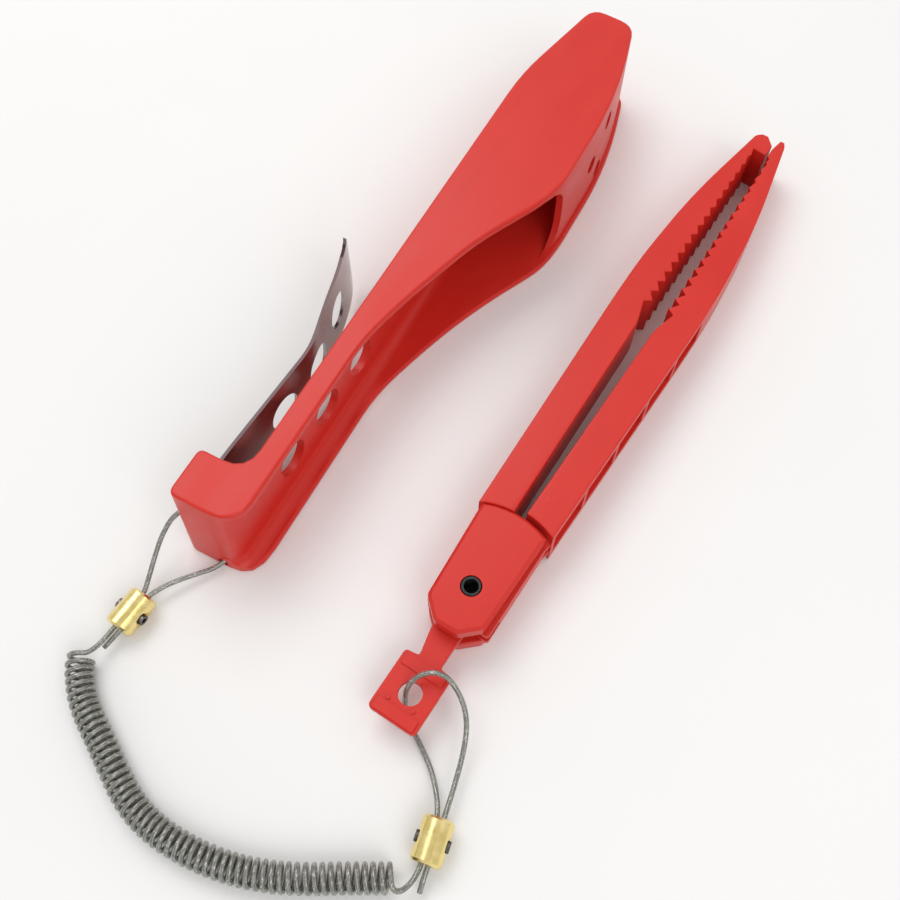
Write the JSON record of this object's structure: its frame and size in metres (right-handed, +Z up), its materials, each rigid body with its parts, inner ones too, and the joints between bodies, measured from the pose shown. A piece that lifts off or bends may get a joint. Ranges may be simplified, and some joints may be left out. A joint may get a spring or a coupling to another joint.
{
  "type": "fishing pliers",
  "caption": "Fish gripper pliers of red plastic with toothed jaws and a lock tab, tied by a coiled wire lanyard to an open belt holster with a steel clip.",
  "frame": {"origin": "centre of the bounding box of the pliers and holster, at the surface they lie on, the lanyard left out", "axes": "+Y along the pliers from the pivot to the jaw tips, +X from the holster towards the pliers, +Z up from the surface"},
  "size_m": [0.1223, 0.2846, 0.032],
  "materials": {
    "red_plastic": "semi-gloss moulded red",
    "clip_steel": "polished stainless strip",
    "screw_steel": "dark steel",
    "black_steel": "blackened, glossy",
    "spring_steel": "drawn spring wire",
    "coated_wire": "stranded steel under a clear coat",
    "clamp_brass": "turned, polished"
  },
  "bodies": {
    "holster": {"holster_body": "red_plastic", "holster_wire": "coated_wire", "lanyard_coil": "coated_wire", "holster_clamp": "clamp_brass", "holster_clamp_screw_1": "screw_steel", "holster_clamp_screw_2": "screw_steel"},
    "clip": {"belt_clip": "clip_steel", "clip_screw_1": "screw_steel", "clip_screw_2": "screw_steel"},
    "strap": {"lock_strap": "red_plastic", "grip_wire": "coated_wire", "grip_clamp": "clamp_brass", "grip_clamp_screw_1": "screw_steel", "grip_clamp_screw_2": "screw_steel"},
    "left_side": {"left_arm": "red_plastic", "pivot_pin": "black_steel", "opening_spring": "spring_steel"},
    "right_side": {"right_arm": "red_plastic"}
  },
  "joints": [
    {"name": "clip_flex", "type": "hinge", "parent": "holster", "child": "clip", "pos_m": [-0.03153, -0.09364, 0.016], "axis": [0, 0, 1], "range_deg": [0, 8], "stiffness_Nm_per_rad": 1.2},
    {"name": "lanyard_stretch", "type": "slide", "parent": "holster", "child": "strap", "axis": [1, 0, 0], "range_m": [0, 0.15]},
    {"name": "lock_slide", "type": "slide", "parent": "strap", "child": "left_side", "axis": [0, 1, 0], "range_m": [0, 0.008]},
    {"name": "jaw_open", "type": "hinge", "parent": "left_side", "child": "right_side", "pos_m": [0.0395, -0.0755, 0.008], "axis": [0, 0, -1], "range_deg": [0, 28]}
  ]
}
